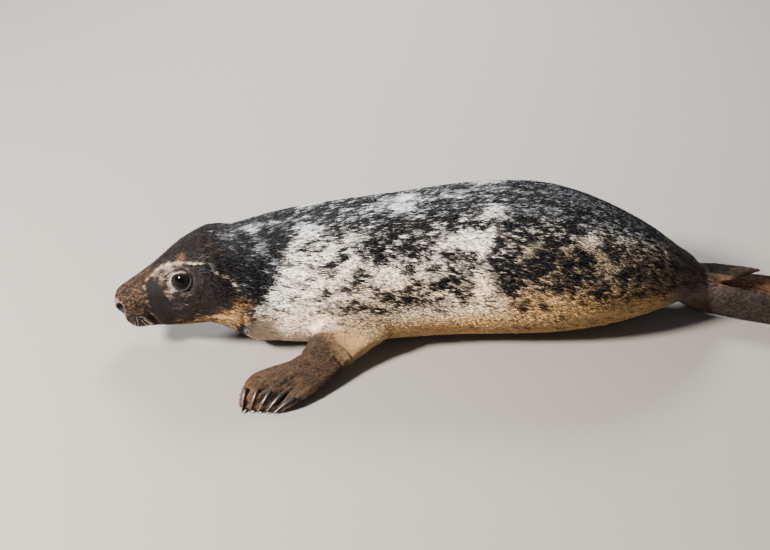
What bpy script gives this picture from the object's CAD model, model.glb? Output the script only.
"""A young grey seal lying on its belly: one skin, a short flat coat, eyes, claws and whiskers.

Everything is in metres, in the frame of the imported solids: the head points to -X, the back is
up, and the left flank faces -Y.  The head's own places are in millimetres: back from the nose
tip, to the right, and up from the head's axis.
"""
import math

import bmesh
import bpy
import numpy as np
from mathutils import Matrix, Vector
from mathutils.bvhtree import BVHTree


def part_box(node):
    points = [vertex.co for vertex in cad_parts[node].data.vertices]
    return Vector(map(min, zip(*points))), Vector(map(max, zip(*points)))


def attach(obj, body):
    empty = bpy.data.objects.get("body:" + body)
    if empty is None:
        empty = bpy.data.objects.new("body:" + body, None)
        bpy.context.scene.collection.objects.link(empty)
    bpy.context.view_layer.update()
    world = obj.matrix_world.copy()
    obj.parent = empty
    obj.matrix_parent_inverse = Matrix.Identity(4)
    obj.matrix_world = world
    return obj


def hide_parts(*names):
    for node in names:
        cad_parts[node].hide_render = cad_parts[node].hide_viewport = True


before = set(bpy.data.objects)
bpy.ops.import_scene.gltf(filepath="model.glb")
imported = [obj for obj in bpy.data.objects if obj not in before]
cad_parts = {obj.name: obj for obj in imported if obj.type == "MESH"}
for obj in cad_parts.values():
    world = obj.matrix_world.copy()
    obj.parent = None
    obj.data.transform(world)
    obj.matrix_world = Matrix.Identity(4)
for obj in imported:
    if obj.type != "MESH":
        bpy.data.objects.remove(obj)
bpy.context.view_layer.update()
MM = 0.001
DICE = np.random.default_rng(11)

# Each flipper's claws, metres from its wrist to its claws, and millimetres: how deep the grooves
# between its digits are, and how thick the flesh round its claws is.
HANDS = {
    "fore_flipper_left": ("fore_claw_left_", 0.11, 6.5, 4.2),
    "fore_flipper_right": ("fore_claw_right_", 0.11, 6.5, 4.2),
    "hind_flipper_left": ("hind_claw_left_", 0.15, 1.8, 2.8),
    "hind_flipper_right": ("hind_claw_right_", 0.15, 1.8, 2.8),
}
FLIPPERS = tuple(HANDS)
TRUNK = ("head", "neck", "chest", "belly", "rump")
SIDES = (("left", -1), ("right", 1))


# ---- camera, light and floor
LOOK_AT = Vector((-0.167, 0.006, 0.092))
CAMERA_DISTANCE = 2.24
CAMERA_ELEVATION = 32


def placed(name, data):
    """A new object of the scene."""
    made = bpy.data.objects.new(name, data)
    bpy.context.scene.collection.objects.link(made)
    return made


def aimed(name, data, place, way):
    """A new object that looks this way from its place."""
    made = placed(name, data)
    made.location = place
    made.rotation_euler = way.to_track_quat("-Z", "Y").to_euler()
    return made


def make_camera():
    lens = bpy.data.cameras.new("camera")
    lens.sensor_width = 36
    lens.lens = 60.8
    rise = math.radians(CAMERA_ELEVATION)
    away = Vector((0, -math.cos(rise), math.sin(rise)))
    bpy.context.scene.camera = aimed("camera", lens, LOOK_AT + away * CAMERA_DISTANCE, -away)


def soft_light(name, place, aim, size, power, colour):
    lamp = bpy.data.lights.new(name, "AREA")
    lamp.shape = "DISK"
    lamp.size = size
    lamp.energy = power
    lamp.color = colour
    aimed(name, lamp, place, Vector(aim) - Vector(place))


def make_studio():
    soft_light("key", (-2.3, -1.15, 1.9), (-0.2, 0, 0.1), 0.6, 540, (1, 0.95, 0.88))
    soft_light("rim", (-0.3, 2.3, 2), (-0.1, 0, 0.15), 1, 210, (0.95, 0.98, 1))
    soft_light("fill", (0.9, -2.6, 1.2), (0, 0, 0.1), 2.2, 7, (1, 0.95, 0.88))
    world = bpy.data.worlds.new("studio")
    world.use_nodes = True
    background = world.node_tree.nodes["Background"].inputs
    background["Color"].default_value = (0.9, 0.93, 1, 1)
    background["Strength"].default_value = 0.2
    bpy.context.scene.world = world


def make_floor():
    shape = bmesh.new()
    bmesh.ops.create_grid(shape, x_segments=2, y_segments=2, size=12)
    floor = object_of("floor", shape)
    material, _, shader = plain_material("pale_floor", 0.9)
    shader["Base Color"].default_value = (0.215, 0.2, 0.18, 1)
    floor.data.materials.append(material)


# ---- numbers on meshes
def ramp(value, low, high):
    """0 below low, 1 above high and a smooth rise between; low may be the greater."""
    t = np.clip((np.asarray(value, float) - low) / (high - low), 0, 1)
    return t * t * (3 - 2 * t)


def fall(value, low, high):
    """1 below low, 0 above high and a smooth fall between."""
    return 1 - ramp(value, low, high)


def bump(distance, width):
    """1 where the distance is 0, falling to almost nothing at twice the width."""
    return np.exp(-(distance / width) ** 2)


def line_at(line, place):
    """The second number of a line's points where the first is this."""
    return np.interp(place, *np.array(line).T)


def triples(items, field, kind=np.float32):
    """Three numbers of each vertex, normal or triangle, a row for each."""
    values = np.empty(len(items) * 3, kind)
    items.foreach_get(field, values)
    return values.reshape(-1, 3)


def points_of(mesh):
    return triples(mesh.vertices, "co").astype(float)


def normals_of(mesh):
    return triples(mesh.vertex_normals, "vector").astype(float)


def triangles_of(mesh):
    mesh.calc_loop_triangles()
    return triples(mesh.loop_triangles, "vertices", np.int32)


def set_points(mesh, points):
    mesh.vertices.foreach_set("co", np.asarray(points, np.float32).ravel())
    mesh.update()


def smoothed(mesh, rounds, weight=1, hold=-1.03):
    """Evens out a mesh; hold gives back what each pass shrinks, or nothing where it is 0."""
    pairs = np.empty(len(mesh.edges) * 2, np.int64)
    mesh.edges.foreach_get("vertices", pairs)
    first, second = pairs.reshape(-1, 2).T
    count = len(mesh.vertices)
    degree = np.bincount(first, minlength=count) + np.bincount(second, minlength=count)
    degree = np.maximum(degree, 1)[:, None]
    points = points_of(mesh)
    share = np.broadcast_to(np.asarray(weight, float), (count,))[:, None]
    for step in (0.5, 0.5 * hold) * rounds:
        total = np.column_stack([np.bincount(first, points[second, axis], count)
                                 + np.bincount(second, points[first, axis], count)
                                 for axis in range(3)])
        points = points + share * step * (total / degree - points)
    set_points(mesh, points)


# ---- the head's own frame
HEAD_PITCH = math.radians(15)
HEAD_YAW = math.radians(4)
HEAD_BACK = np.array([math.cos(HEAD_YAW) * math.cos(HEAD_PITCH),
                      math.sin(HEAD_YAW) * math.cos(HEAD_PITCH), math.sin(HEAD_PITCH)])
HEAD_SIDE = np.array([-math.sin(HEAD_YAW), math.cos(HEAD_YAW), 0])
HEAD_UP = np.cross(HEAD_BACK, HEAD_SIDE)
EYE_PLACE = np.array((139, 49, 36))
EYE_AXIS = np.array([-0.3, 0.88, 0.36]) / np.linalg.norm([-0.3, 0.88, 0.36])
EYE_RADIUS = 20


def corners_of(name):
    """The low and the high corner of a solid's box."""
    return [np.array(corner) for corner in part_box(name)]


def middle_of(name):
    return 0.5 * sum(corners_of(name))


BETWEEN_EYES = 0.5 * (middle_of("eye_left") + middle_of("eye_right"))
NOSE_TIP = BETWEEN_EYES - (HEAD_BACK * EYE_PLACE[0] + HEAD_UP * EYE_PLACE[2]) * MM


def to_head(points):
    """Places in the head's own millimetres."""
    away = (points - NOSE_TIP) / MM
    return np.column_stack([away @ HEAD_BACK, away @ HEAD_SIDE, away @ HEAD_UP])


def from_head(places):
    """The head's own millimetres as places in metres."""
    back, aside, up = np.atleast_2d(places).T[:, :, None]
    return NOSE_TIP + (back * HEAD_BACK + aside * HEAD_SIDE + up * HEAD_UP) * MM


def folded(places):
    """Head places with the right side laid over the left, side counted outwards."""
    return np.column_stack([places[:, 0], np.abs(places[:, 1]), places[:, 2]])


# ---- places on the body
BODY_AXIS = np.array([       # the middle of the body from nose to tail, in millimetres
    (-623, -53, 72), (-540, -47, 92), (-446, -41, 112), (-405, -32, 100), (-313, -8, 105), (-141, 10, 114),
    (33, 23, 121), (117, 27, 119), (193, 34, 110), (261, 43, 98), (317, 51, 84), (379, 59, 65)], float)


def body_places(points):
    """Millimetres along the body, and degrees round it from the back: left is positive."""
    along = points[:, 0] / MM
    across = points[:, 1] / MM - line_at(BODY_AXIS[:, :2], along)
    above = points[:, 2] / MM - line_at(BODY_AXIS[:, ::2], along)
    return along, np.degrees(np.arctan2(-across, above))


# ---- skin
def mesh_from(shape, name):
    """A new mesh from a bmesh, which it frees."""
    mesh = bpy.data.meshes.new(name)
    shape.to_mesh(mesh)
    shape.free()
    return mesh


def object_of(name, shape):
    return placed(name, mesh_from(shape, name))


def add_to(whole, shape):
    """Joins one bmesh to another and frees it."""
    piece = mesh_from(shape, "piece")
    whole.from_mesh(piece)
    bpy.data.meshes.remove(piece)


def flesh_copy(names, grow):
    """Welded copies of these solids in one bmesh, grown outwards by millimetres."""
    whole = bmesh.new()
    for name in names:
        shape = bmesh.new()
        shape.from_mesh(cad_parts[name].data)
        bmesh.ops.remove_doubles(shape, verts=shape.verts, dist=1e-5)
        shape.normal_update()
        for vertex in shape.verts:
            vertex.co += vertex.normal * grow * MM
        add_to(whole, shape)
    return whole


def mesh_of(made):
    """A new mesh of an object as its modifiers leave it."""
    graph = bpy.context.evaluated_depsgraph_get()
    return bpy.data.meshes.new_from_object(made.evaluated_get(graph))


def modified(made, kind, **settings):
    """Gives an object's mesh the shape that one modifier makes of it."""
    modifier = made.modifiers.new("change", kind)
    for name, value in settings.items():
        setattr(modifier, name, value)
    mesh = mesh_of(made)
    made.modifiers.clear()
    made.data = mesh


def remeshed(made):
    """The object's outer surface alone, in even squares."""
    modified(made, "REMESH", mode="VOXEL", voxel_size=FINE * MM)


def shrink(mesh, amount):
    """Moves the surface inwards by this many millimetres, one number or one for each vertex."""
    inwards = np.broadcast_to(np.asarray(amount, float), (len(mesh.vertices),))[:, None] * MM
    set_points(mesh, points_of(mesh) - normals_of(mesh) * inwards)


def divide(made, chosen):
    """Splits the faces whose middle the test chooses into four."""
    shape = bmesh.new()
    shape.from_mesh(made.data)
    middles = np.array([face.calc_center_median() for face in shape.faces])
    picked = chosen(middles)
    edges = {edge for face, pick in zip(shape.faces, picked) if pick for edge in face.edges}
    bmesh.ops.subdivide_edges(shape, edges=list(edges), cuts=1, use_grid_fill=True)
    shape.to_mesh(made.data)
    shape.free()
    made.data.update()


HOLE_CLOSER = 6              # closes nostrils, ears and the mouth, which are shaped anew
GROWN = 0.6                  # how far the solids are grown before they are joined
FINE = 3                     # the side of the remesh's squares; all three in millimetres
SKIN_TRIANGLES = 190000
ABOVE_FLOOR = 0.0006         # the least height of the digits' flesh, in metres
COAT_ABOVE_FLOOR = 0.0004    # of the coat
HAIR_ABOVE_FLOOR = 0.0012    # and of the tufts' roots and the whiskers
DRAWN_BACK = 0.003           # how far the digits' flesh ends short of the claws
GAP_LIMIT = 0.05             # gaps between a point and the solids are measured no further


def near_eye(places, reach):
    """Whether each of these head places is within reach of an eye's middle."""
    return np.linalg.norm(folded(places) - EYE_PLACE, axis=1) < reach


LIMB_WAYS = {                # from each limb's root to its end
    "fore_flipper_left": np.array([-0.78, -0.62, -0.1]),
    "fore_flipper_right": np.array([-0.78, 0.62, -0.1]),
    "hind_flipper_left": np.array([0.95, -0.32, 0]),
    "hind_flipper_right": np.array([1, 0, -0.05]),
    "tail": np.array([1, 0.1, -0.1]),
}


def claws_of(limb):
    return [HANDS[limb][0] + str(digit) for digit in range(1, 6)]


def digit_tips(limb):
    """The flesh under the claws: their solids, fattened, lowered and drawn back to the wrist."""
    fat = HANDS[limb][3]
    tips = flesh_copy(claws_of(limb), fat)
    way = LIMB_WAYS[limb] * (1, 1, 0)
    for vertex in tips.verts:
        vertex.co -= Vector(way) * DRAWN_BACK
        vertex.co.z = max(vertex.co.z - 1.25 * fat * MM, ABOVE_FLOOR)
    return tips


def make_body():
    """The whole animal's surface, closed over the joints between its solids."""
    closed_head = object_of("closed_head", flesh_copy(("head", "eye_left", "eye_right"), HOLE_CLOSER))
    remeshed(closed_head)
    smoothed(closed_head.data, 6)
    shrink(closed_head.data, HOLE_CLOSER - GROWN)
    whole = flesh_copy(TRUNK[1:], GROWN)
    add_to(whole, flesh_copy(LIMB_WAYS, GROWN + 1))
    for limb in HANDS:
        add_to(whole, digit_tips(limb))
    whole.from_mesh(closed_head.data)
    bpy.data.objects.remove(closed_head)
    skin = object_of("skin", whole)
    remeshed(skin)
    smoothed(skin.data, 12)
    points = points_of(skin.data)
    even = ramp(gap_to(LIMB_TREE, points), 0, 0.03) * ramp(points[:, 0], -0.44, -0.38)
    smoothed(skin.data, 50, even, 0)
    points = points_of(skin.data)
    behind = ramp(points[:, 0], 0, 0.1)
    joints = bump(gap_to(LIMB_TREE, points), 0.014 + 0.014 * behind)
    joints = joints * fall(gap_to(TRUNK_TREE, points), 0.012, 0.034)
    smoothed(skin.data, 14, joints, 0)
    smoothed(skin.data, 60, joints * behind, 0)
    return skin


def thin_trunk(skin):
    """Fewer, larger triangles on the plain trunk, so that the head and limbs keep theirs."""
    triangles = sum(len(face.vertices) - 2 for face in skin.data.polygons)
    points = points_of(skin.data)
    places = to_head(points)
    behind_face = ramp(places[:, 0], 150, 190) * (1 - near_eye(places, 40))
    off_limb = ramp(gap_to(LIMB_TREE, points), 0, 0.01)
    plain = behind_face * (0.5 + 0.5 * ramp(places[:, 0], 225, 260)) * (0.3 + 0.7 * off_limb)
    group = skin.vertex_groups.new(name="plain")
    for level in range(1, 5):
        chosen = np.flatnonzero(np.round(plain * 4) == level)
        group.add(chosen.tolist(), level / 4, "REPLACE")
    modified(skin, "DECIMATE", ratio=SKIN_TRIANGLES / triangles, vertex_group=group.name)
    skin.vertex_groups.clear()


MOUTH_LINE = ((6, -35), (30, -41), (60, -46), (90, -45), (112, -40), (118, -37))
NOSTRIL = (14, 24.5, 0.5)
NOSTRIL_ACROSS = (0.66, 0.75, 0)     # along the muzzle's front from the middle outwards
NOSTRIL_HALF = (8.6, 9.4)    # half width and half height of the opening
NOSTRIL_LEAN = math.radians(24)
NOSTRIL_DEPTH = 13
EAR = (190, 72, 52)
LID_OPEN = 54                # degrees from the middle of the gaze to the corners of the lids
UPPER_LID = 34               # and to the middle of the upper and the lower lid
LOWER_LID = 45


def to_line(places, line):
    """Distance of each place to a line through points, and how far along it from 0 to 1."""
    line = np.asarray(line, float)
    best = np.full(len(places), 1e9)
    along = np.zeros(len(places))
    legs = np.linalg.norm(np.diff(line, axis=0), axis=1)
    so_far = np.concatenate([[0], np.cumsum(legs)]) / legs.sum()
    for start, end, low, high in zip(line, line[1:], so_far, so_far[1:]):
        leg = end - start
        t = np.clip((places - start) @ leg / (leg @ leg), 0, 1)
        gap = np.linalg.norm(places - start - t[:, None] * leg, axis=1)
        nearer = gap < best
        best[nearer] = gap[nearer]
        along[nearer] = (low + t * (high - low))[nearer]
    return best, along


def lid_angles(places):
    """For the nearer eye: degrees past the edge of its lids, distance and the turn round its gaze."""
    away = folded(places) - EYE_PLACE
    reach = np.maximum(np.linalg.norm(away, axis=1), 1e-6)
    off_axis = np.degrees(np.arccos(np.clip(away @ EYE_AXIS / reach, -1, 1)))
    forward = np.array([-1, 0, 0]) + EYE_AXIS * EYE_AXIS[0]
    forward /= np.linalg.norm(forward)
    turn = np.arctan2(away @ np.cross(EYE_AXIS, forward), away @ forward)
    inner_corner = np.angle(np.exp(1j * (turn + 0.45)))
    outer_corner = np.angle(np.exp(1j * (turn - 2.95)))
    height = np.where(np.sin(turn) > 0, UPPER_LID, LOWER_LID)
    opening = 1 / np.hypot(np.cos(turn) / LID_OPEN, np.sin(turn) / height)
    opening += 7 * bump(inner_corner, 0.3) + 4 * bump(outer_corner, 0.35)
    return off_axis - opening, reach, turn


LID_STOPS = (-60, -5, -1.5, 0, 2.5, 6, 10, 14, 20)   # degrees past the lids' edge
LID_LEVELS = (17.6, 18.4, 19.6, 20.7, 22, 22.2, 21.6, 22.3, 22.8)
OVER_BALL = 21.3             # the least distance of a lid's skin from the eye's middle


def shape_lids(places):
    """Draws the surface round each eye in to rolled lids, and takes it behind the eyeball."""
    past, reach, _ = lid_angles(places)
    keep = ramp(past, 8, 24)
    wanted = np.interp(past, LID_STOPS, LID_LEVELS) * (1 - keep) + reach * keep
    wanted = np.where((reach < 40) & (past < 24), wanted, reach)
    wanted = np.where((past > 2.5) & (reach < 30), np.maximum(wanted, OVER_BALL), wanted)
    moved = EYE_PLACE + (folded(places) - EYE_PLACE) * (wanted / reach)[:, None]
    moved[:, 1] *= np.where(places[:, 1] < 0, -1, 1)
    return moved


def nostril_ring(over):
    """0 in the middle of the nearer nostril, 1 at its edge and more beyond it."""
    away = over - NOSTRIL
    across = away @ NOSTRIL_ACROSS
    above = away[:, 2]
    lean_across = across * math.cos(NOSTRIL_LEAN) - above * math.sin(NOSTRIL_LEAN)
    lean_above = above * math.cos(NOSTRIL_LEAN) + across * math.sin(NOSTRIL_LEAN)
    return np.hypot(lean_across / NOSTRIL_HALF[0], lean_above / NOSTRIL_HALF[1])


def shape_nostrils(places):
    """Two leaning, comma-shaped openings with a low rim."""
    over = folded(places)
    ring = nostril_ring(over)
    front = fall(over[:, 0], 26, 36)
    push = NOSTRIL_DEPTH * fall(ring, 0.3, 1.05) - 1.6 * bump(ring - 1.35, 0.35)
    moved = places.copy()
    moved[:, 0] += 0.8 * push * front
    moved[:, 1] -= np.sign(places[:, 1]) * 0.5 * push * front
    return moved


PAD_ROWS = ((-13, 4, 24), (-19.5, 6, 20), (-26, 7, 18), (-32, 7, 20), (-37.5, 6, 25))
PAD_SPOTS = [(start + 5.2 * column, rise - 0.35 * column + 0.8 * math.sin(2.1 * column + row))
             for row, (rise, count, start) in enumerate(PAD_ROWS)
             for column in range(count)]     # how far back and up each whisker roots


def pad_marks(back, rise, width):
    """The bumps of this width where the whiskers root, one after another."""
    for spot_back, spot_rise in PAD_SPOTS:
        yield bump(np.hypot(back - spot_back, rise - spot_rise), width)


def from_ear(back, rise, across, above):
    """0 in the middle of the ear's leaning slit, and 1 at the edge of one with these half sizes."""
    lean = 0.35 * (rise - EAR[2])
    return np.hypot((back - EAR[0] + lean) / across, (rise - EAR[2]) / above)


def head_relief(places):
    """Outward bumps and inward grooves of the head's skin, in millimetres."""
    over = folded(places)
    back, side, rise = over.T
    pad = np.sqrt(((back - 30) / 32) ** 2 + ((side - 28) / 22) ** 2 + ((rise + 25) / 15) ** 2)
    total = 6 * fall(pad, 0.35, 1.25)
    crease = np.hypot((back - 16) / 1.6, (side - 20) / 2 + (rise + 15) * 0.2) / 8
    total -= 1.6 * bump(crease, 1) * bump(rise + 14, 4)
    total += 3 * (bump(rise + 50, 14) * ramp(back, 12, 26) * fall(back, 120, 165))
    total += 1.5 * bump(np.hypot(back - 22, side), 14) * bump(rise + 49, 10)
    total -= 1.2 * bump(side, 7) * bump(rise - 22, 16) * fall(back, 60, 90)
    from_line = rise - line_at(MOUTH_LINE, back)
    mouth = fall(back, 108, 120) * ramp(side, -1, 2)
    total -= 3.8 * bump(from_line, 1.7) * mouth
    front_lip = fall(back, 10, 26) * fall(side, 18, 34)
    total -= 3.4 * bump(rise + 38, 1.8) * front_lip
    total -= 2 * bump(rise + 48, 8) * front_lip
    total += 1.4 * bump(from_line - 4.5, 3.2) * mouth
    total -= 1.6 * bump(from_line + 5, 4) * mouth * fall(back, 60, 100)
    total += bump(np.hypot(back - 121, rise + 37), 5)
    total -= 2.6 * bump(side, 2.2) * bump(rise + 22, 15) * fall(back, 22, 40)
    for pit in pad_marks(back, rise, 1.4):
        total -= 0.9 * pit
    for row_rise in (-16.5, -23, -29.2, -35):
        total -= 0.8 * bump(rise - row_rise, 1.5) * bump(back - 36, 18)
    total -= 2.2 * bump(back - 63 + 0.3 * (rise + 30), 3.6) * bump(rise + 30, 15)
    total -= 3.6 * bump(from_ear(back, rise, 2, 6), 1)
    total += 1.2 * bump(np.hypot((back - EAR[0] - 5) / 5, (rise - EAR[2]) / 8), 1)
    for depth, width, points in CHEEK_FOLDS:
        gap, along = to_line(over, points)
        fade = ramp(along, 0, 0.2) * fall(along, 0.8, 1)
        total -= depth * bump(gap, width) * fade
        total += 0.5 * depth * bump(gap - 2.2 * width, 1.4 * width) * fade
    return total


CHEEK_FOLDS = (              # depth, width and the places that each fold of the cheek passes
    (1.6, 2.4, ((158, 62, 58), (178, 70, 56), (196, 76, 44), (214, 88, 24), (226, 98, -6), (222, 98, -40))),
    (1, 2, ((118, 58, 16), (132, 66, 8), (152, 70, 12), (166, 72, 26))),
    (0.8, 1.8, ((112, 50, 52), (130, 50, 62), (150, 52, 64), (164, 58, 58))),
    (1.3, 4, ((120, 62, -36), (146, 72, -34), (176, 82, -26), (206, 94, -34))),
    (1.2, 5, ((196, 60, -84), (206, 86, -62), (216, 100, -30), (222, 104, 10))),
)


def hand_frame(limb):
    """A flipper's wrist, the way out along it, the way to its leading edge and its digits' angles."""
    tips = [middle_of(name) for name in claws_of(limb)]
    way = LIMB_WAYS[limb] * (1, 1, 0)
    way /= np.linalg.norm(way)
    across = np.array((-way[1], way[0], 0))
    if across[0] > 0:
        across = -across
    wrist = sum(tips) / 5 - way * HANDS[limb][1]
    turns = sorted(math.atan2((tip - wrist) @ across, (tip - wrist) @ way) for tip in tips)
    return wrist, way, across, turns


def on_hand(points, limb):
    """Metres out and aside of a flipper's wrist, and shares of the hand, its grooves and its digits."""
    wrist, way, across, turns = hand_frame(limb)
    hand = HANDS[limb][1]
    forward = (points - wrist) @ way
    aside = (points - wrist) @ across
    turn = np.arctan2(aside, np.maximum(forward, 1e-4))
    near = (forward > 0) & (np.abs(turn) < 1.2) & (forward < hand * 1.5)
    reach = ramp(forward / hand, 0.25, 0.8) * near
    grooves = np.zeros(len(points))
    for first, second in zip(turns, turns[1:]):
        grooves += bump((turn - 0.5 * (first + second)) / (0.5 * (second - first)), 0.36)
    ridges = sum(bump(turn - ridge, 0.07) for ridge in turns)
    return forward, aside, near, grooves * reach, ridges * reach


WRIST_FOLDS = (              # millimetres out and aside of the wrist
    ((-40, 22, 0), (-46, 8, 0), (-55, -6, 0), (-64, -24, 0)),
    ((-28, -2, 0), (-34, -14, 0), (-40, -28, 0)),
)


def shape_hands(points, normals):
    """Full digits with grooves between them, a broad first digit and the folds of the wrist."""
    moved = points.copy()
    upward = ramp(normals[:, 2], 0.15, 0.75)
    limb_part = limb_share(points)
    for limb, (_, hand, depth, _) in HANDS.items():
        forward, aside, near, grooves, ridges = on_hand(points, limb)
        moved[:, 2] += depth * (0.35 * ridges - grooves) * MM * limb_part * upward
        if limb.startswith("hind"):
            continue
        wrist, _, across, _ = hand_frame(limb)
        lead = 8 * MM * bump((forward - 0.62 * hand) / (0.42 * hand), 1) * ramp(aside, 0.004, 0.03)
        moved += across * (lead * near * limb_part)[:, None]
        laid = np.column_stack([forward, aside, np.zeros(len(points))]) / MM
        fold = sum(bump(to_line(laid, line)[0], 2) for line in WRIST_FOLDS)
        fold = 1.8 * MM * fold * ramp(normals[:, 2], -0.3, 0.2)
        fold = fold * (np.linalg.norm(points - wrist, axis=1) < 0.12) * limb_part
        moved -= normals * fold[:, None]
    moved[:, 2] = np.maximum(moved[:, 2], np.minimum(points[:, 2], ABOVE_FLOOR))
    return moved


def chest_relief(points):
    """Takes in the front of the chest, where the neck's skin hangs less than the solids do."""
    along, turn = body_places(points)
    middle = np.abs(points[:, 1] + 0.03) < 0.14
    return -9 * bump(along + 382, 34) * ramp(np.abs(turn), 96, 124) * middle


def sculpt(skin):
    """The finer shapes of the head, the chest and the hands."""
    mesh = skin.data
    places = to_head(points_of(mesh))
    on_head = fall(places[:, 0], 225, 250)
    relief = head_relief(places) * on_head + chest_relief(points_of(mesh))
    set_points(mesh, points_of(mesh) + normals_of(mesh) * relief[:, None] * MM)
    places = shape_nostrils(to_head(points_of(mesh)))
    set_points(mesh, from_head(shape_lids(places)))
    set_points(mesh, shape_hands(points_of(mesh), normals_of(mesh)))


def coat_depth(points):
    """How far the skin lies inside the outer shape, in millimetres: least on face and limbs."""
    face = fall(to_head(points)[:, 0], 60, 260)
    return 2.6 - 1.7 * np.maximum(face, limb_share(points))


def gap_to(tree, points):
    """Metres from each point to a tree of solids, 0 inside them."""
    gaps = np.full(len(points), GAP_LIMIT)
    for index, point in enumerate(points.tolist()):
        nearest, normal, _, distance = tree.find_nearest(point, GAP_LIMIT)
        if nearest is not None:
            gaps[index] = distance if (Vector(point) - nearest).dot(normal) > 0 else 0
    return gaps


def limb_share(points):
    """1 on the flippers and the tail, 0 on the trunk, and a smooth change at their roots."""
    return fall(gap_to(LIMB_TREE, points), 0.008, 0.013) * ramp(gap_to(TRUNK_TREE, points), 0, 0.02)


def tree_of(names):
    shape = flesh_copy(names, 0)
    tree = BVHTree.FromBMesh(shape)
    shape.free()
    return tree


TRUNK_TREE = tree_of(TRUNK)
LIMB_TREE = tree_of(LIMB_WAYS)


def muzzle_or_eye(middles):
    places = to_head(middles)
    return (places[:, 0] < 70) | near_eye(places, 40)


def openings(middles):
    places = folded(to_head(middles))
    from_line = np.abs(places[:, 2] - line_at(MOUTH_LINE, places[:, 0]))
    mouth = (places[:, 0] < 122) & (from_line < 7)
    eye = near_eye(places, 27) & (np.abs(lid_angles(places)[0]) < 16)
    nose = (places[:, 0] < 22) & (places[:, 2] > -18)
    return mouth | eye | nose


def make_skin():
    """The skin that lies under the coat, inside the solids of flesh."""
    skin = make_body()
    divide(skin, muzzle_or_eye)
    divide(skin, openings)
    smoothed(skin.data, 3)
    thin_trunk(skin)
    shrink(skin.data, GROWN + coat_depth(points_of(skin.data)))
    sculpt(skin)
    skin.data.shade_smooth()
    skin.data.materials.append(skin_material())
    mark(skin.data, points_of(skin.data))
    return skin


# ---- the lie of the coat
def lie_of_coat(points, normals):
    """The unit direction in which the hairs lie: back from the nose, and out along each limb."""
    slopes = np.gradient(BODY_AXIS, BODY_AXIS[:, 0], axis=0).T
    way = np.column_stack([np.interp(points[:, 0] / MM, BODY_AXIS[:, 0], slope) for slope in slopes])
    way[:, 2] -= 0.22
    face = fall(to_head(points)[:, 0], 120, 240)
    from_nose = points - from_head((-12, 0, -4))
    from_nose /= np.linalg.norm(from_nose, axis=1)[:, None]
    way = blend(way, face, from_nose)
    for name, share in limb_shares(points).items():
        way = blend(way, share, LIMB_WAYS[name])
    way -= normals * np.sum(way * normals, axis=1)[:, None]
    return way / np.maximum(np.linalg.norm(way, axis=1), 1e-6)[:, None]


def limb_shares(points):
    """For each limb, its share of every point's surface."""
    share = limb_share(points)
    shares = {}
    for name in LIMB_WAYS:
        low, high = corners_of(name)
        shares[name] = share * np.all((points > low - 0.006) & (points < high + 0.006), axis=1)
    crowd = np.maximum(sum(shares.values()), 1)
    return {name: values / crowd for name, values in shares.items()}


# ---- markings
def tone(red, green, blue):
    """Screen values from 0 to 255 as the shader's own."""
    return (np.array((red, green, blue)) / 255) ** 2.2


SILVER = tone(228, 229, 234)
WHITE = tone(255, 247, 236)
CREAM = tone(250, 226, 194)
GOLD = tone(214, 172, 116)
THROAT_GOLD = tone(168, 132, 88)
TAN = tone(176, 154, 126)
STONE_GREY = tone(134, 135, 142)
BROWN = tone(84, 64, 49)
ORANGE = tone(122, 90, 64)
LILAC = tone(150, 132, 126)
NOSE_GREY = tone(100, 88, 86)
SOOT = tone(13, 13, 16)
UMBER = tone(20, 15, 13)
LIMB_GOLD = tone(196, 158, 112)
LIMB_BROWN = tone(84, 66, 51)
HIND_GREY = tone(66, 56, 51)
ANKLE_GREY = tone(112, 97, 89)
DIGIT_ORANGE = tone(132, 88, 56)
BLACK = tone(12, 11, 12)

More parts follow.
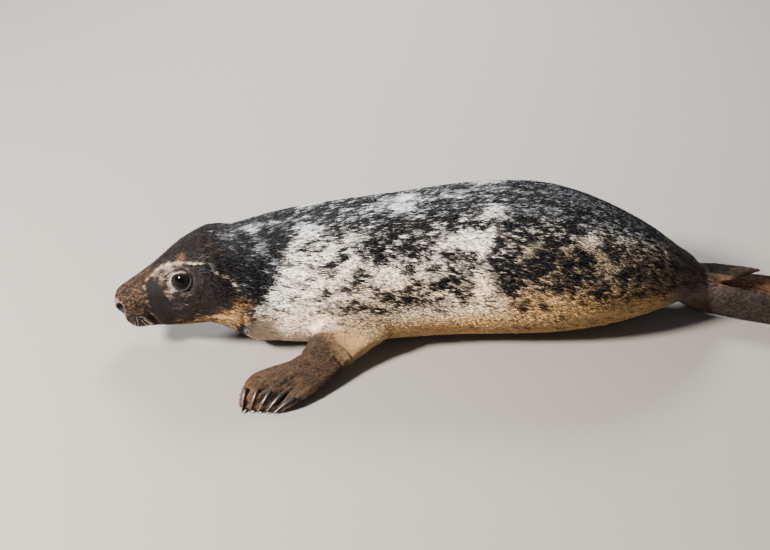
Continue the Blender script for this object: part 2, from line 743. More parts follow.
# Along, round, half length, half width in millimetres, tilt in degrees and strength.
# A strength below 0 is a pale patch.
LEFT_BLOTCHES = (
    (-258, 3, 48, 20, 5, 0.9), (-308, 5, 22, 12, 0, 0.5), (-188, 22, 46, 20, 5, 0.8),
    (-265, 24, 12, 10, 0, 0.5), (-183, 45, 24, 17, 0, 0.9), (-156, 38, 23, 22, 0, 0.7),
    (-224, 43, 17, 9, 0, 0.5), (-292, 37, 13, 12, 0, 0.4), (-240, 50, 9, 8, 0, 0.7),
    (-256, 55, 8, 7, 0, 0.6), (-264, 60, 14, 8, 0, 0.3), (-211, 64, 14, 11, -30, 0.7),
    (-220, 73, 14, 9, 0, 0.7), (-253, 76, 17, 7, 10, 0.4), (-224, 91, 15, 8, 0, 0.5),
    (-167, 84, 14, 8, 0, 0.6), (-149, 93, 11, 8, 0, 0.5), (-126, 81, 15, 17, 0, 0.8),
    (-128, 28, 22, 19, 0, 0.7), (-97, 36, 34, 11, 35, 0.8), (-123, 47, 27, 14, 0, 0.7),
    (-95, 17, 18, 16, 0, 0.6), (-60, 23, 14, 10, 0, 0.5), (-32, 14, 17, 20, 0, 0.9),
    (2, 0, 20, 24, 0, 0.5), (-83, -14, 33, 20, 12, 0.5), (-58, 35, 10, 9, 0, 0.8),
    (-32, 33, 17, 6, 0, 0.5), (6, 36, 22, 7, 5, 0.8), (32, 50, 18, 22, -20, 1),
    (11, 60, 11, 13, 0, 0.9), (-66, 54, 11, 5, 0, 0.5), (-32, 56, 9, 6, 0, 0.8),
    (-53, 62, 13, 15, 0, 0.8), (-23, 63, 15, 8, -10, 0.9), (-32, 68, 14, 7, 0, 0.6),
    (-94, 65, 7, 6, 0, 0.7), (-90, 79, 9, 6, 0, 0.8), (-55, 78, 25, 9, -8, 0.85),
    (-49, 85, 9, 7, 0, 0.8), (-36, 92, 11, 9, 0, 0.5), (15, 70, 19, 9, 0, 0.5),
    (-131, 63, 13, 10, 0, 0.4), (44, 69, 20, 18, 0, 0.7), (37, 84, 14, 11, 0, 0.5),
    (70, 42, 23, 16, 0, 0.8), (89, 55, 23, 15, 0, 0.7), (76, 68, 22, 13, 0, 0.6),
    (132, 39, 24, 13, -15, 0.8), (156, 22, 20, 15, -20, 0.8), (64, -9, 26, 25, 0, 0.8),
    (142, 62, 16, 13, 0, 0.8), (118, 73, 27, 12, 0, 0.7), (170, 79, 18, 25, 0, 0.6),
    (57, 99, 7, 8, 0, 0.9), (96, 99, 7, 6, 0, 0.9),
    (160, 45, 23, 8, -10, -0.6), (168, 54, 23, 9, -20, -0.6), (191, 68, 12, 17, -40, -0.5),
    (161, 85, 13, 12, 0, -0.5), (65, 56, 20, 8, 0, -0.6), (92, 63, 14, 6, 0, -0.5),
    (-149, 9, 14, 12, 10, -0.6), (5, 22, 21, 12, 0, -0.6), (-21, 46, 40, 17, 5, -0.7),
    (-77, 34, 20, 9, 20, -0.5), (-216, 33, 16, 13, 0, -0.6), (-286, 24, 28, 10, 0, -0.5),
    (-240, 45, 33, 11, 5, -0.5), (-224, 59, 11, 16, -30, -0.5), (-143, 71, 27, 18, 0, -0.4),
    (-13, 69, 16, 30, 0, -0.4), (-178, 95, 15, 8, 0, 0.45), (-140, 87, 18, 6, 0, 0.4),
    (-97, 90, 19, 8, 0, 0.5), (-74, 101, 14, 6, 0, 0.4), (186, 54, 26, 12, 0, 0.35),
    (44, 62, 16, 10, 0, -0.35), (68, 50, 16, 9, 0, -0.35),
)
# Degrees round from the back, and where along the body the dark hood ends.
HOOD_EDGE = ((-34, -325), (0, -323), (28, -320), (46, -336), (66, -351), (78, -367), (93, -388),
             (120, -400), (180, -405))
ROUND_RADIUS = 118           # millimetres that one radian round the trunk measures


def right_blotches():
    """The left flank's blotches over the right, each shifted and turned so that no two match."""
    rows = []
    for along, turn, length, width, tilt, strength in LEFT_BLOTCHES:
        on, aside, leaning = DICE.uniform(-16, 16, 3)
        rows.append((along + on, -(turn + 0.4 * aside), length, width, leaning - tilt, strength))
    return rows


def patch(along, turn, row):
    """1 in the middle of a blotch and 0 outside it."""
    middle, middle_turn, length, width, tilt = row[:5]
    away = along - middle
    up = -np.radians(turn - middle_turn) * ROUND_RADIUS * (-1 if middle_turn < 0 else 1)
    lean = math.radians(tilt)
    first = (away * math.cos(lean) + up * math.sin(lean)) / (length * 1.08)
    second = (up * math.cos(lean) - away * math.sin(lean)) / (width * 1.15)
    return np.exp(-(first * first + second * second) ** 1.5 * 0.7)


def blend(values, share, new):
    """Numbers, or rows of three, with this share of new ones."""
    share = np.clip(share, 0, 1)
    if np.shape(new)[-1:] == (3,):
        share = share[:, None]
    return values * (1 - share) + new * share


def layered(colour, *layers):
    """A colour under others, each with its share."""
    for share, new in layers:
        colour = blend(colour, share, new)
    return colour


def markings(points):
    """How far each point leans to dark, its pale tone and its dark tone."""
    along, turn = body_places(points)
    round_ = np.abs(turn)
    dark, pale, deep = trunk_marks(along, turn, round_)

    # hood: crown and neck as far as the white chest
    edge = line_at(HOOD_EDGE, round_)
    hood = fall(along, edge - 12, edge + 12)
    dark = blend(dark, hood, 0.94 - 0.14 * fall(round_, 0, 14))
    pale = layered(pale, (hood, STONE_GREY), (0.5 * hood * fall(round_, 5, 20), SILVER))
    for row in HOOD_SPOTS:
        dark += row[5] * patch(along, round_, row) * hood
    deep = blend(deep, hood, SOOT)

    head, *on_head = head_marks(to_head(points))
    tones = [blend(old, head, new) for old, new in zip((dark, pale, deep), on_head)]
    return limb_marks(points, *tones)


def trunk_marks(along, turn, round_):
    """Silver back, white flank, golden belly and a darker rear, with the blotches over them."""
    front = fall(along, 0, 80)
    rear = ramp(along, -10, 80)
    ankle = ramp(along, 280, 350)
    breast = ramp(round_, 96, 120) * fall(along, -300, -260)
    low = 52 * fall(along, -300, -232) + 7 * bump(along + 100, 90)
    shoulder = bump(np.hypot((along + 205) / 62, (round_ - 104) / 22), 1)
    pale = layered(
        WHITE,
        (fall(round_, 14, 40), SILVER),
        (ramp(round_, 52, 82) * ramp(along, -350, -200), CREAM),
        (0.75 * ramp(round_, 84, 100) * front, CREAM),
        (ramp(round_ - low, 92, 112), GOLD),
        (0.2 * breast, GOLD),
        (rear * fall(round_, 22, 45), STONE_GREY),
        (rear * ramp(round_, 32, 60), TAN),
        (rear * ramp(round_, 74, 96), GOLD),
        (ankle, ANKLE_GREY),
        (0.8 * shoulder, TAN))
    dark = 0.33 + 0.36 * bump(round_ - 30, 24) * front * ramp(along, -330, -270)
    dark += 0.14 * bump(round_ - 62, 30) * front * ramp(along, -210, -110)
    dark += 0.33 * rear * fall(round_, 80, 106) + 0.12 * ramp(along, 150, 280) * fall(round_, 92, 108)
    dark += 0.08 * rear * ramp(round_, 100, 110) + 0.04 * rear * fall(round_, 56, 90)
    dark -= 0.3 * ankle + 0.22 * ramp(round_, 94, 110) * (1 - 0.5 * rear) + 0.16 * breast
    for rows, on_side in ((LEFT_BLOTCHES, turn > -40), (RIGHT_BLOTCHES, turn < 40)):
        for row in rows:
            dark += 0.95 * row[5] * patch(along, turn, row) * on_side
    dark = 0.43 + 0.45 * np.tanh((dark - 0.43) / 0.45)
    return dark, pale, blend(SOOT, ramp(round_, 80, 110), UMBER)


HOOD_SPOTS = (
    (-390, 3, 17, 12, 0, -0.3), (-368, 27, 17, 14, 0, -0.34), (-360, 48, 13, 13, 0, -0.34),
    (-391, 78, 11, 12, 0, -0.3), (-420, 40, 16, 16, 20, 0.25), (-380, 55, 20, 16, 60, 0.3),
    (-345, 30, 12, 16, 0, 0.25), (-372, 82, 12, 14, 0, 0.25), (-405, 62, 14, 8, 0, -0.25),
)
# Head places along the pale lines behind the eye and over the brow.
CHEEK_LINE = ((146, 43, 63), (158, 51, 62), (173, 57, 61), (186, 61, 60), (189, 65, 53), (191, 70, 48),
              (201, 73, 45), (209, 76, 36), (217, 78, 27), (220, 83, 15), (222, 86, 3), (222, 89, -9))
BROW_ARC = ((140, 40, 63), (125, 33, 61), (107, 25, 56), (92, 21, 49), (80, 21, 43), (69, 24, 36),
            (65, 31, 30), (65, 39, 18), (63, 41, 4), (66, 40, -12))
# How far back and how high the pale throat's edge is.
THROAT_EDGE = ((60, -50), (86, -46), (100, -42), (119, -36), (151, -27), (178, -23), (203, -12),
               (226, -6), (250, -26))
HEAD_PATCHES = (             # strength, middle and reach of the dark patches
    (0.36, (150, 10, 76), (70, 40, 34)), (0.16, (36, 32, -22), (28, 30, 16)),
    (0.6, (80, 40, 10), (16, 26, 24)), (0.5, (86, 48, -18), (20, 26, 20)),
    (0.95, (186, 72, 30), (34, 30, 30)), (0.25, (150, 66, -8), (34, 26, 16)),
    (0.2, (112, 56, 4), (30, 30, 26)),
)


def head_marks(places):
    """The head's share of each point, and its leaning to dark, pale tone and dark tone."""
    over = folded(places)
    back, side, rise = over.T
    wander = 7 * np.sin(side / 9 + 0.6) + 5 * np.sin(rise / 6 + side / 14)
    slope = 0.25 * (np.maximum(rise, -20) - 40) + 0.7 * np.maximum(-20 - rise, 0)
    head = fall(back + slope + wander, 203, 237)
    muzzle = fall(back - 0.25 * np.maximum(rise, 0), 54, 72)
    throat = fall(rise - line_at(THROAT_EDGE, back), -9, 7) * ramp(back, 66, 100)

    # the pale rings round the eyes, and the patch before them
    past, _, turn = lid_angles(places)
    near = np.abs(back - 139) < 50
    ahead = 0.3 + 0.7 * ramp(np.cos(turn) + 0.8 * np.sin(turn), -0.5, 0.6)
    ring = fall(past, 9, 26) * ramp(past, 4, 10) * near * ahead
    front = head_patch(over, (108, 36, 53), (30, 20, 13))

    # the pale lines behind the eye and over the brow
    gap, along = to_line(over, CHEEK_LINE)
    line = bump(gap + 0.8 * np.sin(0.6 * back), 1.6) * fall(along, 0.88, 1)
    gap, along = to_line(over, BROW_ARC)
    thin = ramp(along, 0.2, 0.6)
    gap = gap + (0.6 + thin) * np.sin(0.55 * rise + 0.3 * back)
    arc = (0.6 - 0.26 * thin) * bump(gap, 3.4 - 1.6 * thin) * fall(along, 0.85, 1)
    line = np.maximum(line, arc)

    brow = head_patch(over, (140, 33, 68), (8, 8, 8))
    lip = fall(back, 46, 66) * bump(rise + 37, 7)
    naked = nose_pad(over)
    pale = layered(
        BROWN,
        (muzzle, ORANGE),
        (0.6 * fall(back, 60, 120) * ramp(rise, 8, 26), ORANGE),
        (0.5 * head_patch(over, (128, 60, 2), (38, 30, 24)), LILAC),
        (throat, THROAT_GOLD),
        (front, LILAC),
        (np.maximum(0.7 * ring, 0.25 * front), CREAM),
        (line * 0.8, CREAM),
        (brow, ORANGE),
        (0.3 * lip, CREAM),
        (naked, NOSE_GREY))
    dark = 0.63 + 0.08 * muzzle - 0.26 * throat - 0.34 * ring - 0.16 * front
    for strength, middle, reach in HEAD_PATCHES:
        dark += strength * head_patch(over, middle, reach)
    dark = dark * (1 - 0.84 * line) - 0.1 * line - 0.7 * brow - 0.12 * lip
    dark += 0.35 * np.minimum(sum(pad_marks(back, rise, 1.9)), 1) * (side > 8)
    dark = blend(dark, naked, 0.05)

    # the black skin of the lids' rims, nostrils, lips and ears
    from_line = np.abs(rise - line_at(MOUTH_LINE, back))
    wet = np.max([
        fall(past, 2.5, 7) * near,
        fall(nostril_ring(over), 0.95, 1.2),
        fall(from_line, 1.2, 2.6) * fall(back, 112, 122) * (back > 8),
        fall(from_ear(back, rise, 2.2, 5.5), 0.7, 1.3)], axis=0)
    return head, blend(dark, wet, 3), pale, blend(UMBER, wet, BLACK)


def limb_marks(points, dark, pale, deep):
    """Golden arms, brown hands with orange ends, greyer hind flippers and a dark tail."""
    for name, share in limb_shares(points).items():
        low, high = corners_of(name)
        way = LIMB_WAYS[name]
        start = np.minimum(low * way, high * way).sum()
        end = np.maximum(low * way, high * way).sum()
        out = (points @ way - start) / (end - start)
        if name == "tail":
            near_edge = fall((points[:, 1] - low[1]) / (high[1] - low[1]), 0.1, 0.3)
            colour = blend(LIMB_BROWN, near_edge, GOLD)
            leaning = 0.85 - 0.75 * near_edge
        elif name.startswith("hind"):
            colour = blend(HIND_GREY, fall(out, 0.08, 0.36), ANKLE_GREY)
            if name.endswith("right"):
                colour = blend(colour, np.array([0.7]), DIGIT_ORANGE)
            leaning = 0.4 + 0.14 * ramp(out, 0.15, 0.45)
        else:
            colour = layered(LIMB_GOLD, (ramp(out, 0.2, 0.44), LIMB_BROWN),
                             (0.7 * ramp(out, 0.82, 0.96), DIGIT_ORANGE))
            leaning = 0.18 + 0.32 * ramp(out, 0.26, 0.42)
            leaning -= 0.1 * ramp(out, 0.55, 0.7) + 0.1 * ramp(out, 0.84, 0.96)
        if name in HANDS:
            leaning = leaning + 0.45 * on_hand(points, name)[3]
        pale = blend(pale, share, colour)
        dark = blend(dark, share, leaning)
        deep = blend(deep, share, UMBER)
    return dark, pale, deep


def head_patch(places, middle, reach):
    """1 in the middle of a round patch and 0 outside it."""
    away = (places - middle) / reach
    return np.exp(-np.sum(away * away, axis=1) ** 1.5 * 0.7)


def mottling(points):
    """How far the small marks stand out: most on the back and the flanks, least on the muzzle."""
    back = to_head(points)[:, 0]
    head = fall(back, 200, 240)
    muzzle = fall(back, 60, 110)
    along, turn = body_places(points)
    plain = np.maximum(ramp(along, 60, 160) * 0.25, ramp(np.abs(turn), 84, 106) * 0.4)
    return 1 - 0.3 * head - 0.35 * muzzle - plain * (1 - head) - 0.35 * limb_share(points)


def write_field(mesh, name, values):
    """Numbers, places or colours for every vertex of a mesh, as an attribute."""
    kind, field = ("FLOAT", "value") if values.ndim == 1 else ("FLOAT_VECTOR", "vector")
    attribute = mesh.attributes.new(name, kind, "POINT")
    attribute.data.foreach_set(field, np.asarray(values, np.float32).ravel())


def mark(mesh, roots, repeat=1):
    """Writes the markings at these places on to a mesh, each for this many of its vertices."""
    dark, pale, deep = markings(roots)
    for name, values in (("darkness", dark), ("mottling", mottling(roots)), ("pale_tone", pale),
                         ("deep_tone", deep), ("root", roots)):
        write_field(mesh, name, np.repeat(values, repeat, axis=0))


# ---- materials
class Nodes:
    """A short way to place and link nodes in one tree."""

    def __init__(self, tree):
        self.tree = tree

    def feed(self, socket, value):
        """Links a value to a socket, or sets it there when it is plain."""
        if isinstance(value, bpy.types.NodeSocket):
            self.tree.links.new(value, socket)
        else:
            socket.default_value = value

    def add(self, kind, settings=(), **inputs):
        """A new node's outputs; i0 is its first input, and other inputs go by their names."""
        node = self.tree.nodes.new("ShaderNode" + kind)
        for key, value in dict(settings).items():
            setattr(node, key, value)
        for key, value in inputs.items():
            self.feed(node.inputs[int(key[1:]) if key[1:].isdigit() else key], value)
        return node.outputs

    def field(self, name, output="Vector"):
        return self.add("Attribute", {"attribute_name": name})[output]

    def sum(self, operation, first, second):
        return self.add("Math", {"operation": operation}, i0=first, i1=second)[0]

    def mix(self, share, first, second, kind="MIX"):
        settings = {"data_type": "RGBA", "blend_type": kind}
        return self.add("Mix", settings, i0=share, i6=first, i7=second)[2]

    def noise(self, place, scale, detail, roughness=0.5):
        return self.add("TexNoise", Vector=place, Scale=scale, Detail=detail, Roughness=roughness)[0]

    def spread(self, noise, weight):
        """Noise from 0 to 1 as numbers on both sides of 0."""
        return self.add("Math", {"operation": "MULTIPLY_ADD"}, i0=noise, i1=weight, i2=-0.5 * weight)[0]

    def ease(self, value, low, high):
        return self.add("MapRange", {"interpolation_type": "SMOOTHSTEP"}, i0=value, i1=low, i2=high)[0]

    def squeezed(self, vector, share):
        """A place with its distance along the body shortened, which draws marks out along it."""
        return self.add("VectorMath", {"operation": "MULTIPLY"}, i0=vector, i1=(share, 1, 1))[0]

    def scaled(self, vector, share):
        return self.add("VectorMath", {"operation": "SCALE"}, i0=vector, Scale=share)[0]

    def raised(self, height, strength, distance):
        return self.add("Bump", Strength=strength, Distance=distance, Height=height)[0]


def make_coat_group():
    """The coat's colour at its attribute 'root': pale and dark tones parted by streaky edges."""
    tree = bpy.data.node_groups.new("coat_markings", "ShaderNodeTree")
    tree.interface.new_socket("Colour", in_out="OUTPUT", socket_type="NodeSocketColor")
    make = Nodes(tree)
    drawn = make.squeezed(make.field("root"), 0.4)
    half_drawn = make.squeezed(make.field("root"), 0.72)
    uneven = make.spread(make.noise(half_drawn, 72, 3, 0.65), 1.9)
    uneven = make.sum("ADD", uneven, make.spread(make.noise(half_drawn, 170, 2, 0.6), 1.5))
    specks = make.ease(make.noise(half_drawn, 210, 1.5, 0.6), 0.56, 0.66)
    uneven = make.sum("ADD", uneven, make.sum("MULTIPLY", specks, 0.58))
    flecks = make.ease(make.noise(drawn, 190, 1.5, 0.6), 0.6, 0.7)
    uneven = make.sum("SUBTRACT", uneven, make.sum("MULTIPLY", flecks, 0.45))
    share = make.field("mottling", "Fac")
    uneven = make.sum("MULTIPLY", uneven, share)
    grain = make.spread(make.noise(drawn, 420, 2, 0.6), 1)
    grain = make.sum("MULTIPLY", grain, make.sum("SUBTRACT", 1.9, share))
    uneven = make.sum("ADD", uneven, grain)
    dark = make.ease(make.sum("ADD", uneven, make.field("darkness", "Fac")), 0.12, 0.9)
    lighter = make.noise(drawn, 75, 3, 0.7)
    deep_level = make.add("MapRange", i0=lighter, i1=0.35, i2=0.7, i3=0.75, i4=1.7)[0]
    pale_level = make.add("MapRange", i0=lighter, i1=0.3, i2=0.7, i3=1.06, i4=0.78)[0]
    deep = make.scaled(make.field("deep_tone"), deep_level)
    pale = make.scaled(make.field("pale_tone"), pale_level)
    make.feed(tree.nodes.new("NodeGroupOutput").inputs["Colour"], make.mix(dark, pale, deep))
    return tree


def plain_material(name, roughness, specular=0.5):
    """A new material, its nodes and its shader's inputs."""
    material = bpy.data.materials.new(name)
    material.use_nodes = True
    shader = material.node_tree.nodes["Principled BSDF"].inputs
    shader["Roughness"].default_value = roughness
    shader["Specular IOR Level"].default_value = specular
    return material, Nodes(material.node_tree), shader


def skin_material():
    material, make, shader = plain_material("skin_under_coat", 0.7, 0.25)
    colour = make.add("Group", {"node_tree": COAT_GROUP})["Colour"]
    make.feed(shader["Base Color"], make.mix(1, colour, (0.82, 0.8, 0.78, 1), "MULTIPLY"))
    make.feed(shader["Normal"], make.raised(make.noise(make.field("root"), 700, 2), 0.35, 0.0006))
    return material


def coat_material():
    material, make, shader = plain_material("short_coat", 0.55, 0.18)
    colour = make.add("Group", {"node_tree": COAT_GROUP})["Colour"]
    make.feed(shader["Base Color"], make.scaled(colour, make.field("shade", "Fac")))
    return material


# ---- coat
HALF_WIDE = 0.5 * math.sin(math.radians(60))

# The five points of a tuft: its root, three round its thickest part, and its tip.
TUFT_ALONG = np.array((-0.06, 0.38, 0.38, 0.38, 1))      # shares of its length
TUFT_LIFT = np.array((-0.25, 0.62, 0.62, 0.62, 0.85))    # shares of the height that it stands up
TUFT_ASIDE = np.array((0, 0, HALF_WIDE, -HALF_WIDE, 0))  # shares of its width
TUFT_THICK = np.array((0, 0.16, -0.08, -0.08, 0))
TUFT_SHADE = np.array((0.62, 0.98, 0.98, 0.98, 1.12))
TUFT_FACES = np.array(((0, 1, 2), (1, 4, 2), (0, 2, 3), (2, 4, 3), (0, 3, 1), (3, 4, 1)))


def surface_samples(mesh, density):
    """Places spread evenly over a surface, density being tufts for each square metre at a point."""
    corners = triangles_of(mesh)
    points, normals = points_of(mesh), normals_of(mesh)
    first, second, third = (points[corners[:, index]] for index in range(3))
    areas = 0.5 * np.linalg.norm(np.cross(second - first, third - first), axis=1)
    wanted = areas * density((first + second + third) / 3)
    total = np.cumsum(wanted)
    count = int(total[-1])
    marks = (np.arange(count) + DICE.random(count)) * (total[-1] / count)
    chosen = corners[np.minimum(np.searchsorted(total, marks), len(total) - 1)]
    shares = DICE.random((len(chosen), 2))
    over = shares.sum(axis=1) > 1
    shares[over] = 1 - shares[over]
    weights = np.column_stack([1 - shares.sum(axis=1), shares])[:, :, None]
    roots = (points[chosen] * weights).sum(axis=1)
    upright = (normals[chosen] * weights).sum(axis=1)
    return roots, upright / np.linalg.norm(upright, axis=1)[:, None]


COVER = 1.62                 # how many tufts lie over each point of the skin
TUFT_SHARE = 0.62            # of a tuft's length times its width, what it covers


def hair_size(points):
    """Length and width of the tufts at each point, in millimetres."""
    face = fall(to_head(points)[:, 0], 40, 250)
    small = np.maximum(face, limb_share(points) * 0.9)
    return 11.5 - 8.3 * small, 1.45 - 0.75 * small


def nose_pad(over):
    """1 on the naked skin round the nostrils."""
    away = (over - (7, 18, 0)) / (23, 20, 16)
    return fall(np.linalg.norm(away, axis=1), 0.85, 1.1)


def bare(points):
    """Where no hair grows: the eyes, the nose's tip, the lips' edge, the ears and under the belly."""
    places = to_head(points)
    over = folded(places)
    past, reach, _ = lid_angles(places)
    eye = (past < 6) & (reach < 30)
    nose = nose_pad(over) > 0.4
    mouth = (over[:, 0] < 116) & (np.abs(over[:, 2] - line_at(MOUTH_LINE, over[:, 0])) < 1.6)
    ear = (np.abs(over[:, 0] - EAR[0]) < 2.5) & (np.abs(over[:, 2] - EAR[2]) < 5)
    return eye | nose | mouth | ear | (points[:, 2] < HAIR_ABOVE_FLOOR)


def laid(way, shares, sizes):
    """How far each tuft's points lie out this way, as shares of the tufts' sizes."""
    return way[:, None, :] * (shares[None, :] * sizes[:, None])[:, :, None]


def make_coat(name, roots, upright, layout):
    """One joined mesh of tufts at these roots; layout gives each root's place on the unwrap."""
    count, repeat = len(roots), len(TUFT_ALONG)
    length, width = hair_size(roots)
    lie = lie_of_coat(roots, upright)
    swing = DICE.normal(0, 0.11, count)[:, None]
    lie = lie * np.cos(swing) + np.cross(upright, lie) * np.sin(swing)
    aside = np.cross(upright, lie)
    length = length * DICE.uniform(0.75, 1.25, count) * MM
    width = width * DICE.uniform(0.7, 1.25, count) * MM
    stand = DICE.uniform(0.035, 0.095, count) + 0.06 * (DICE.random(count) < 0.06)
    points = (roots[:, None, :]
              + laid(lie, TUFT_ALONG, length)
              + laid(upright, TUFT_LIFT, stand * length)
              + laid(aside, TUFT_ASIDE, width)
              + laid(upright, TUFT_THICK, width))
    points[:, :, 2] = np.maximum(points[:, :, 2], COAT_ABOVE_FLOOR)
    corners = (TUFT_FACES[None, :, :] + (np.arange(count) * repeat)[:, None, None]).reshape(-1)
    mesh = bpy.data.meshes.new(name)
    mesh.vertices.add(count * repeat)
    mesh.vertices.foreach_set("co", points.astype(np.float32).ravel())
    mesh.loops.add(len(corners))
    mesh.loops.foreach_set("vertex_index", corners.astype(np.int32))
    mesh.polygons.add(len(corners) // 3)
    mesh.polygons.foreach_set("loop_start", np.arange(0, len(corners), 3, dtype=np.int32))
    mesh.update(calc_edges=True)
    mesh.shade_smooth()
    mark(mesh, roots, repeat)
    own = DICE.uniform(0.87, 1.13, count)
    write_field(mesh, "shade", (own[:, None] * TUFT_SHADE).ravel())
    within = np.column_stack([TUFT_ALONG, TUFT_ASIDE]) * 0.003
    uv = (layout(roots)[:, None, :] * 0.99 + within + 0.002).reshape(-1, 2)[corners]
    mesh.uv_layers.new(name="OFBake").data.foreach_set("uv", uv.astype(np.float32).ravel())
    mesh.materials.append(COAT)
    coat = placed(name, mesh)
    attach(coat, "root")


def coat_density(points):
    """Tufts for each square metre at each point, few where the body rests on the floor."""
    length, width = hair_size(points)
    wanted = COVER * (1 - 0.25 * limb_share(points)) / (length * width * TUFT_SHARE * MM * MM)
    return wanted * (1 - 0.8 * (points[:, 2] < 0.004))


def trunk_layout(points):
    along, turn = body_places(points)
    low, high = along.min(), along.max()
    return np.column_stack([(along - low) / (high - low), (turn + 180) / 360])


def limb_layout(points):
    low, high = points.min(axis=0), points.max(axis=0)
    place = (points - low) / (high - low)
    return np.column_stack([place[:, 0], 0.5 * place[:, 1] + 0.5 * (place[:, 2] > 0.5)])


PART_ENDS = (-1000, -560, -440, -300, -140, 20, 180, 1000)


def make_coats(skin):
    """The coat in pieces: one on each flipper, and seven on each side of the rest."""
    roots, upright = surface_samples(skin.data, coat_density)
    reach = hair_size(roots)[0] * 0.9 * MM
    keep = ~bare(roots) & ~bare(roots + lie_of_coat(roots, upright) * reach[:, None])
    roots, upright = roots[keep], upright[keep]
    shares = limb_shares(roots)
    rest = np.ones(len(roots), bool)
    for name in FLIPPERS:
        chosen = shares[name] > 0.5
        rest &= ~chosen
        make_coat("coat_" + name, roots[chosen], upright[chosen], limb_layout)
    along, turn = body_places(roots)
    for index, (low, high) in enumerate(zip(PART_ENDS, PART_ENDS[1:]), 1):
        for side, on_side in (("left", turn >= 0), ("right", turn < 0)):
            chosen = rest & (along >= low) & (along < high) & on_side
            make_coat(f"coat_{side}_{index}", roots[chosen], upright[chosen], trunk_layout)


# ---- eyes, claws and whiskers
def eye_material():
    material, make, shader = plain_material("eye", 0.04, 0.12)
    off = make.field("off_gaze", "Fac")
    streaks = make.noise(make.add("TexCoord")["Object"], 260, 2)
    brown = make.mix(streaks, (0.002, 0.0015, 0.0015, 1), (0.007, 0.004, 0.003, 1))
    colour = make.mix(make.ease(off, 27, 34), (0.001, 0.001, 0.0015, 1), brown)
    colour = make.mix(make.ease(off, 40, 46), colour, (0.006, 0.004, 0.004, 1))
    make.feed(shader["Base Color"], colour)
    return material


def make_eye(side, outwards, material):
    """A wet eyeball with a raised cornea, its pole along the gaze."""
    shape = bmesh.new()
    bmesh.ops.create_uvsphere(shape, u_segments=64, v_segments=40, radius=EYE_RADIUS * MM)
    eye = object_of("fine_eye_" + side, shape)
    gaze = HEAD_BACK * EYE_AXIS[0] + HEAD_SIDE * EYE_AXIS[1] * outwards + HEAD_UP * EYE_AXIS[2]
    turn = np.array(Vector(gaze).to_track_quat("Z", "Y").to_matrix())
    points = points_of(eye.data)
    off = np.degrees(np.arccos(np.clip(points[:, 2] / (EYE_RADIUS * MM), -1, 1)))
    points *= (1 + 0.035 * fall(off, 20, 44))[:, None]
    set_points(eye.data, points @ turn.T + middle_of("eye_" + side))
    write_field(eye.data, "off_gaze", off)
    eye.data.shade_smooth()
    eye.data.materials.append(material)
    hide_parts("eye_" + side)
    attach(eye, "root")


def claw_material():
    material, make, shader = plain_material("claw_horn", 0.36)
    streaks = make.noise(make.add("TexCoord")["Object"], 320, 3)
    make.feed(shader["Base Color"], make.mix(streaks, (0.004, 0.004, 0.005, 1), (0.02, 0.019, 0.02, 1)))
    make.feed(shader["Normal"], make.raised(streaks, 0.3, 0.0004))
    return material


def make_claws(limb, material):
    """The five claws of one flipper, rounded from the solids' own lines."""
    horn = flesh_copy(claws_of(limb), 0.7)
    bmesh.ops.translate(horn, verts=horn.verts, vec=(0, 0, 0.0022))
    claws = object_of("fine_" + HANDS[limb][0] + "set", horn)
    modified(claws, "SUBSURF", levels=2)
    claws.data.shade_smooth()
    claws.data.materials.clear()
    claws.data.materials.append(material)
    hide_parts(*claws_of(limb))
    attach(claws, "root")


def strand(root, way, length, thick, droop):
    """A tapering hair's places and half thicknesses, bending down as it leaves its root."""
    rows = []
    way = way / np.linalg.norm(way)
    for step in range(10):
        t = step / 9
        place = root + way * (length * t) + np.array((0.25, 0, -1)) * droop * t * t * length
        place[2] = max(place[2], HAIR_ABOVE_FLOOR)
        rows.append((place, thick * (1 - 0.85 * t)))
    return rows


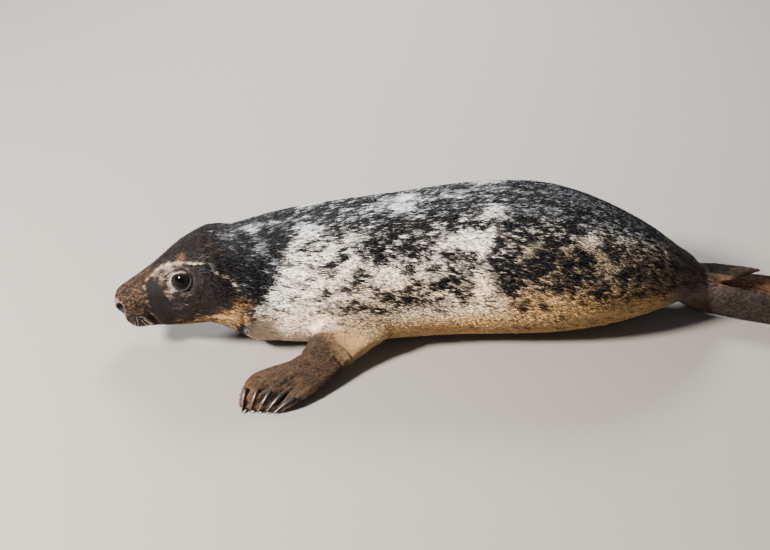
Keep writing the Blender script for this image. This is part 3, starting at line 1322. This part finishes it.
def make_hairs(name, strands, material):
    """One joined mesh of tapering hairs."""
    curve = bpy.data.curves.new(name, "CURVE")
    curve.dimensions = "3D"
    curve.bevel_depth = 1
    curve.bevel_resolution = 1
    curve.use_fill_caps = True
    for rows in strands:
        spline = curve.splines.new("POLY")
        spline.points.add(len(rows) - 1)
        for point, (place, thick) in zip(spline.points, rows):
            point.co = (*place, 1)
            point.radius = thick
    drawn = placed(name + "_curve", curve)
    mesh = mesh_of(drawn)
    bpy.data.objects.remove(drawn)
    hairs = placed(name, mesh)
    mesh.shade_smooth()
    mesh.materials.clear()
    mesh.materials.append(material)
    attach(hairs, "root")


def on_skin(back, side, rise):
    """A place just under the skin that is nearest to a place beside the head, and its normal."""
    place, normal, _, _ = SKIN_TREE.find_nearest(Vector(from_head((back, side, rise))[0]))
    return np.array(place) - np.array(normal) * MM, np.array(normal)


def whiskers(outwards):
    """One side's whiskers, longer and bending more the further back they root."""
    rows = []
    for back, rise in PAD_SPOTS:
        root, normal = on_skin(back, 44 * outwards, rise)
        low = ramp(rise, -14, -34)
        far = ramp(back, 18, 55)
        way = normal * 0.8 + HEAD_BACK * (0.25 + 0.5 * far) + HEAD_UP * (0.05 - 0.75 * low)
        way += DICE.normal(0, 0.09, 3)
        length = (18 + 34 * far + 10 * low) * DICE.uniform(0.75, 1.15) * MM
        rows.append(strand(root, way, length, 0.22 * MM, 0.32))
    return rows


def brow_hairs(outwards):
    """The four stiff hairs over one eye."""
    rows = []
    for back, rise, length in ((132, 66, 24), (137, 68, 30), (142, 68, 26), (146, 66, 17)):
        root, normal = on_skin(back, 33 * outwards, rise)
        way = normal + HEAD_BACK * 0.3 + DICE.normal(0, 0.08, 3)
        rows.append(strand(root, way, length * MM, 0.3 * MM, 0.12))
    return rows


# ---- the whole seal
RIGHT_BLOTCHES = right_blotches()
make_camera()
make_studio()
make_floor()
COAT_GROUP = make_coat_group()
skin = make_skin()
COAT = coat_material()
make_coats(skin)
EYE = eye_material()
for side, outwards in SIDES:
    make_eye(side, outwards, EYE)
HORN = claw_material()
for limb in HANDS:
    make_claws(limb, HORN)
SKIN_TREE = BVHTree.FromPolygons(points_of(skin.data).tolist(), triangles_of(skin.data).tolist())
WHISKER, _, whisker_shader = plain_material("whisker", 0.35)
whisker_shader["Base Color"].default_value = (0.26, 0.21, 0.15, 1)
make_hairs("whiskers", whiskers(-1) + whiskers(1), WHISKER)
make_hairs("brow_hairs", brow_hairs(-1) + brow_hairs(1), WHISKER)

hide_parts(*TRUNK, *FLIPPERS, "tail")
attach(skin, "root")
